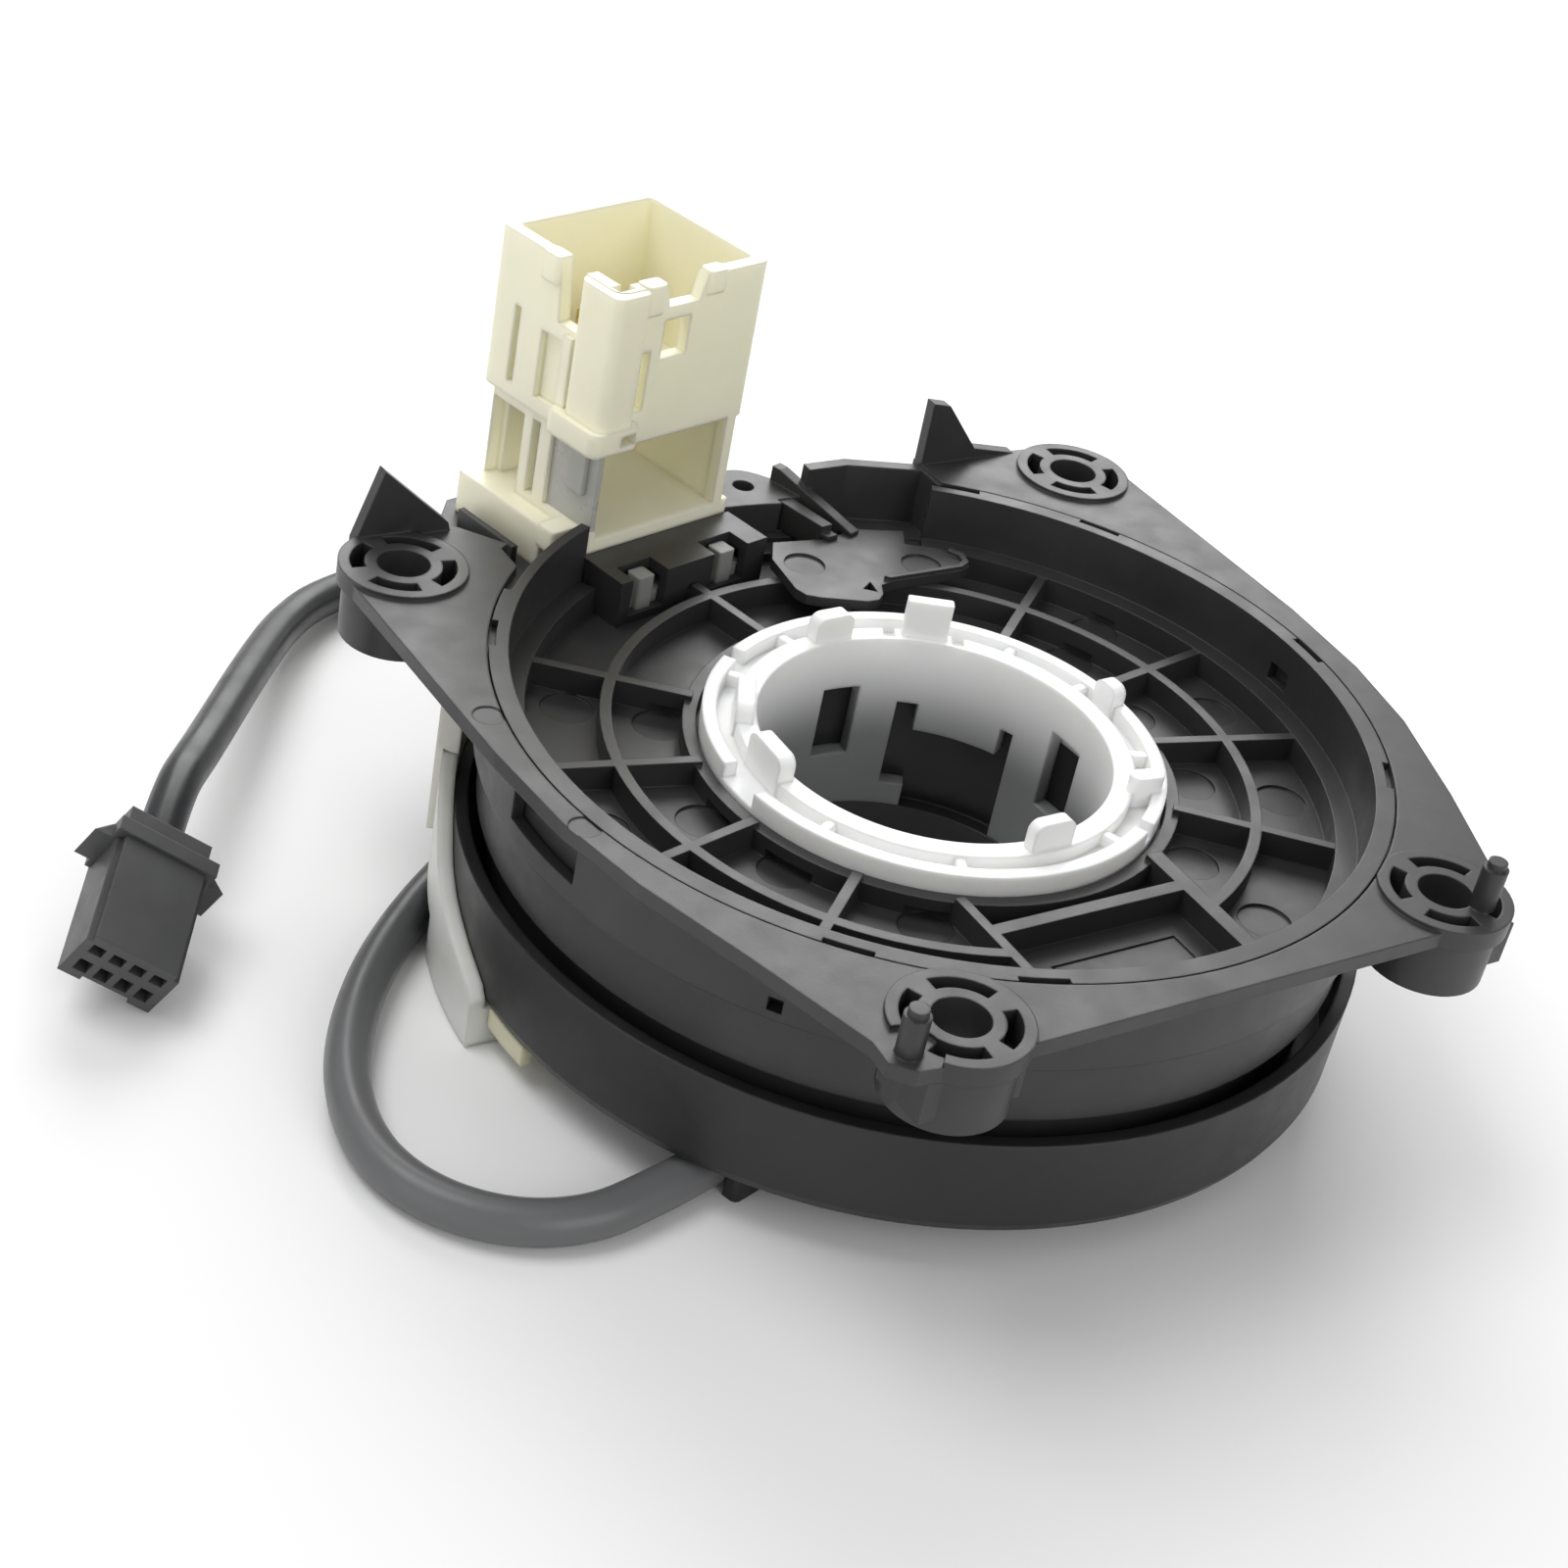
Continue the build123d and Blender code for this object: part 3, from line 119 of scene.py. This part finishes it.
def mix_colour(tree, share, first, second):
    """Colour between two others, each of them three numbers or a socket."""
    node = tree.nodes.new("ShaderNodeMix")
    node.data_type = "RGBA"
    for key, colour in (("A", first), ("B", second)):
        if isinstance(colour, tuple):
            node.inputs[key].default_value = (*colour, 1)
        else:
            tree.links.new(colour, node.inputs[key])
    tree.links.new(share, node.inputs["Factor"])
    return node.outputs["Result"]


def moulded(name, colour, rough, grain=grain_scale, bump=0.25, mottle=0.15, radius=0.25,
            soft=0.0, clear=0.0, specular=0.5):
    """Moulded plastic: mottled colour, uneven gloss, a fine eroded grain and edges eased by a
    radius in millimetres."""
    mat, tree, bsdf = new_material(name)
    darker = tuple(c * (1 - mottle) for c in colour)
    lighter = tuple(min(1.0, c * (1 + mottle)) for c in colour)
    tree.links.new(mix_colour(tree, spread_noise(tree, mottle_scale, 0, 1), darker, lighter),
                   bsdf.inputs["Base Color"])
    uneven_gloss(tree, bsdf, gloss_scale, rough, gloss_drift)
    edge = tree.nodes.new("ShaderNodeBevel")
    edge.samples = 4
    edge.inputs["Radius"].default_value = radius * MM
    relief = tree.nodes.new("ShaderNodeBump")
    relief.inputs["Strength"].default_value = bump
    relief.inputs["Distance"].default_value = grain_depth
    tree.links.new(noise(tree, grain, 3.0), relief.inputs["Height"])
    tree.links.new(edge.outputs["Normal"], relief.inputs["Normal"])
    tree.links.new(relief.outputs["Normal"], bsdf.inputs["Normal"])
    bsdf.inputs["Specular IOR Level"].default_value = specular
    if soft:
        bsdf.inputs["Subsurface Weight"].default_value = soft
        bsdf.inputs["Subsurface Radius"].default_value = soft_tint
        bsdf.inputs["Subsurface Scale"].default_value = soft_depth
    if clear:
        bsdf.inputs["Transmission Weight"].default_value = clear
        bsdf.inputs["IOR"].default_value = plastic_ior
    return mat


def metal(name, colour, rough):
    """Plated strip with a slightly uneven colour and gloss."""
    mat, tree, bsdf = new_material(name)
    duller = tuple(c * plating_dull for c in colour)
    tree.links.new(mix_colour(tree, spread_noise(tree, plating_scale, 0, 1), duller, colour),
                   bsdf.inputs["Base Color"])
    bsdf.inputs["Metallic"].default_value = 1.0
    uneven_gloss(tree, bsdf, plating_gloss_scale, rough, plating_gloss_drift)
    return mat


def fade(mat, axis, start, end, colour):
    """Turns a material's colour into another one along an axis of its object, in metres."""
    tree = mat.node_tree
    base = tree.nodes["Principled BSDF"].inputs["Base Color"]
    before = base.links[0].from_socket
    split = tree.nodes.new("ShaderNodeSeparateXYZ")
    tree.links.new(object_place(tree), split.inputs["Vector"])
    share = map_range(tree, split.outputs[axis], (start, end), (0.0, 1.0), "SMOOTHSTEP")
    tree.links.new(mix_colour(tree, share, before, colour), base)


case_black = moulded("case_black", (0.031, 0.031, 0.032), 0.40, radius=0.3)
cover_black = moulded("cover_black", (0.029, 0.029, 0.030), 0.38, radius=0.2)
drum_black = moulded("drum_black", (0.014, 0.014, 0.014), 0.42, radius=0.4)
plug_black = moulded("plug_black", (0.052, 0.053, 0.053), 0.44)
cream = moulded("cream", (0.92, 0.89, 0.70), 0.38, mottle=0.02, bump=0.12, soft=0.35,
                radius=0.7)
hub_white = moulded("hub_white", (0.88, 0.885, 0.88), 0.40, mottle=0.015, bump=0.10, soft=0.45,
                    radius=0.6)
milky = moulded("milky", (0.84, 0.85, 0.80), 0.40, mottle=0.04, bump=0.15, soft=0.45,
                clear=0.20, radius=0.9)
natural = moulded("natural_white", (0.80, 0.79, 0.72), 0.42, mottle=0.03, soft=0.25, radius=0.5)
yellowish = moulded("yellowish", (0.66, 0.64, 0.46), 0.40, mottle=0.04, soft=0.3, radius=0.8)
divider = moulded("divider", (0.54, 0.54, 0.50), 0.30, mottle=0.03, bump=0.1, soft=0.2,
                  clear=0.15)
carrier = moulded("carrier_grey", (0.24, 0.24, 0.23), 0.46, mottle=0.05, radius=0.5)
jacket = moulded("lead_jacket", (0.024, 0.025, 0.027), 0.34, grain=900.0, bump=0.2,
                 mottle=0.10, radius=0.1, specular=0.4)
ribbon = moulded("ribbon_film", (0.50, 0.27, 0.09), 0.25, mottle=0.10, bump=0.05)
brass = metal("contact_brass", (0.80, 0.60, 0.27), 0.28)

# Painted shade darkens the hub's wall down its bore, and painted light makes the lead's near loop
# paler
bore_shade = (0.20, 0.205, 0.205)
near_loop_painted_light = (0.125, 0.127, 0.130)
fade(hub_white, "Z", 30.0 * MM, 16.5 * MM, bore_shade)
fade(jacket, "Y", 30.0 * MM, -5.0 * MM, near_loop_painted_light)

materials = {
    "stator_case": case_black, "back_cover": cover_black, "terminal_lid": cover_black,
    "terminal_carrier": carrier, "connector_housing": cream, "connector_divider": divider,
    "connector_terminals": brass, "outer_ribbon_terminal": carrier, "flat_ribbon": ribbon,
    "inner_ribbon_terminal": carrier, "rotor_sleeve": hub_white, "rotor_drum": drum_black,
    "side_shell": milky, "side_block": natural, "shell_insert": yellowish,
    "shell_terminals": brass, "lead_clamp": drum_black, "plug_body": plug_black,
    "plug_rear_clip": plug_black, "plug_contacts": brass,
}
for name, mat in materials.items():
    dress(nodes[name], mat)

# Pieces that are remade from the solids

weld_gap = 0.001 * MM


def merge_doubles(bm):
    """Makes one vertex of those that share a place."""
    bmesh.ops.remove_doubles(bm, verts=bm.verts, dist=weld_gap)


def close_slivers(bm):
    """Takes out faces that have no width."""
    bmesh.ops.dissolve_degenerate(bm, dist=weld_gap, edges=bm.edges)


def remade(name, node, *steps):
    """Object with a node's mesh, changed by one step after another."""
    mesh = node.data.copy()
    mesh.transform(node.matrix_world)
    bm = bmesh.new()
    bm.from_mesh(mesh)
    for step in steps:
        step(bm)
    bm.to_mesh(mesh)
    bm.free()
    return link_object(name, mesh)


# Plug body with a smooth upper face, as the photograph shows it: the solid's latch is levelled
plug_middle = Vector((-78.1, 29.2, 9.2)) * MM
plug_forward = Vector((-0.521, -0.825, -0.218)).normalized()
plug_across = Vector((0.794, -0.374, -0.477))
plug_across = (plug_across - plug_forward * plug_forward.dot(plug_across)).normalized()
plug_up = plug_forward.cross(plug_across)
plug_top = 3.7 * MM
latch_low = 3.2 * MM       # the latch's recess ends above this height


def level_latch(bm):
    """Brings the latch and its recess to the height of the plug's upper face."""
    for vert in bm.verts:
        height = (vert.co - plug_middle).dot(plug_up)
        if height > latch_low:
            vert.co += plug_up * (plug_top - height)


plug = remade("plug_shell", nodes["plug_body"], level_latch, merge_doubles, close_slivers)
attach(plug, "rotor")
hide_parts("plug_body")

# Connector housing with the opening low on its near corner, and the divider plate that shows in it.
# Their boxes are x, y and z spans in the tower's own directions, in millimetres.
tower_turn = math.radians(13.0)
tower_axes = (Vector((math.cos(tower_turn), math.sin(tower_turn), 0)),
              Vector((-math.sin(tower_turn), math.cos(tower_turn), 0)),
              Vector((0, 0, 1)))
opening_box = ((-12.4, -9.6), (46.4, 54.8), (35.2, 45.4))
plate_box = ((-10.9, -10.2), (46.9, 55.2), (34.3, 45.6))
pad_box = ((-11.5, -10.8), (48.6, 51.6), (39.3, 44.9))


def from_boxes(name, *boxes):
    """Object made of boxes in the tower's directions."""
    mesh = bpy.data.meshes.new(name)
    bm = bmesh.new()
    for box in boxes:
        for vert in bmesh.ops.create_cube(bm, size=1.0)["verts"]:
            place = Vector((0, 0, 0))
            for axis, share, (low, high) in zip(tower_axes, vert.co, box):
                place += axis * (low + (share + 0.5) * (high - low))
            vert.co = place * MM
    bm.to_mesh(mesh)
    bm.free()
    return link_object(name, mesh)


housing = remade("tower_shell", nodes["connector_housing"], merge_doubles)
opening = from_boxes("opening", opening_box)
cut = housing.modifiers.new("opening", "BOOLEAN")
cut.operation = "DIFFERENCE"
cut.object = opening
bpy.context.view_layer.update()
depsgraph = bpy.context.evaluated_depsgraph_get()
opened = bpy.data.meshes.new_from_object(housing.evaluated_get(depsgraph))
housing.modifiers.clear()
housing.data = opened
bpy.data.objects.remove(opening)
dress(housing, cream)
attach(housing, "case")
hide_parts("connector_housing")

plate = from_boxes("divider_plate", plate_box, pad_box)
dress(plate, divider)
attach(plate, "case")
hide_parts("connector_divider")

# Lead: a smooth line through the route of the CAD tube, in millimetres
route = [
    (-31.8, -23.9, 2.5), (-40.9, -26.5, 2.5), (-47.2, -27.9, 2.5), (-53.6, -29.0, 2.5),
    (-60.5, -27.3, 2.5), (-66.1, -23.0, 2.5), (-69.6, -16.9, 2.5), (-70.4, -9.7, 2.5),
    (-68.4, -1.6, 2.5), (-64.2, 6.4, 2.5), (-58.2, 14.2, 2.5), (-50.8, 21.4, 2.5),
    (-42.6, 27.8, 2.5), (-34.6, 33.6, 2.5), (-26.4, 38.9, 2.5), (-18.0, 44.0, 2.5),
    (-9.2, 50.0, 2.5), (-1.0, 56.6, 2.5), (3.4, 64.0, 2.5), (4.4, 72.1, 2.5),
    (2.0, 80.0, 2.5), (-3.4, 86.1, 2.5), (-10.8, 89.6, 2.5), (-19.4, 90.1, 2.5),
    (-28.2, 88.0, 2.8), (-36.0, 84.0, 3.7), (-42.6, 77.6, 5.1), (-48.2, 70.4, 6.7),
    (-54.0, 62.6, 8.3), (-60.2, 54.2, 9.7), (-66.2, 46.2, 11.0), (-71.6, 39.5, 11.9),
    (-75.8, 32.9, 10.2),
]
lead_radius = 2.45 * MM

curve = bpy.data.curves.new("lead_sleeve", "CURVE")
curve.dimensions = "3D"
spline = curve.splines.new("NURBS")
spline.points.add(len(route) - 1)
for point, spot in zip(spline.points, route):
    point.co = (*(c * MM for c in spot), 1)
spline.order_u = 3
spline.use_endpoint_u = True
spline.resolution_u = 8
curve.bevel_depth = lead_radius
curve.bevel_resolution = 6
curve.use_fill_caps = True
lead = link_object("lead_sleeve", curve)
dress(lead, jacket)
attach(lead, "rotor")
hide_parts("lead")

# Stage

floor_half = 3.0
floor_colour = (0.86, 0.86, 0.86, 1)
world_strength = 0.45

corners = [(x * floor_half, y * floor_half, 0) for x, y in ((-1, -1), (1, -1), (1, 1), (-1, 1))]
floor_mesh = bpy.data.meshes.new("floor")
floor_mesh.from_pydata(corners, [], [(0, 1, 2, 3)])
floor = link_object("floor", floor_mesh)
floor_mat, _, floor_bsdf = new_material("floor")
floor_bsdf.inputs["Base Color"].default_value = floor_colour
floor_bsdf.inputs["Roughness"].default_value = 0.9
floor_bsdf.inputs["Specular IOR Level"].default_value = 0.1
dress(floor, floor_mat)

scene = bpy.context.scene
world = bpy.data.worlds.new("world")
scene.world = world
world.use_nodes = True
backdrop = world.node_tree.nodes["Background"]
backdrop.inputs["Color"].default_value = (1.0, 1.0, 1.0, 1)
backdrop.inputs["Strength"].default_value = world_strength

# Lamps

lamp_aim = Vector((0, 0, 0.02))


def softbox(name, place, size, watts):
    """Square soft lamp at a place, turned to the part."""
    light = bpy.data.lights.new(name, "AREA")
    light.shape = "SQUARE"
    light.size = size
    light.energy = watts
    lamp = link_object(name, light)
    lamp.location = place
    lamp.rotation_euler = (lamp_aim - Vector(place)).to_track_quat("-Z", "Y").to_euler()


softbox("key", (-0.30, 0.20, 0.75), 0.45, 2.6)
softbox("back", (0.30, 0.55, 0.45), 0.60, 4.7)
softbox("left", (-0.62, -0.10, 0.22), 0.40, 0.4)
softbox("front", (0.10, -0.70, 0.35), 0.50, 1.7)

# Camera, at the photograph's place

camera_place = (-0.169507, -0.193626, 0.189367)
camera_turn = (56.131, -9.881, -31.229)     # degrees about x, y and z

camera_data = bpy.data.cameras.new("camera")
camera_data.sensor_width = 36.0
camera_data.lens = 63.01
camera_data.clip_start = 0.01
camera = link_object("camera", camera_data)
camera.location = camera_place
camera.rotation_euler = Euler([math.radians(a) for a in camera_turn], "XYZ")
scene.camera = camera
scene.view_settings.view_transform = "Standard"
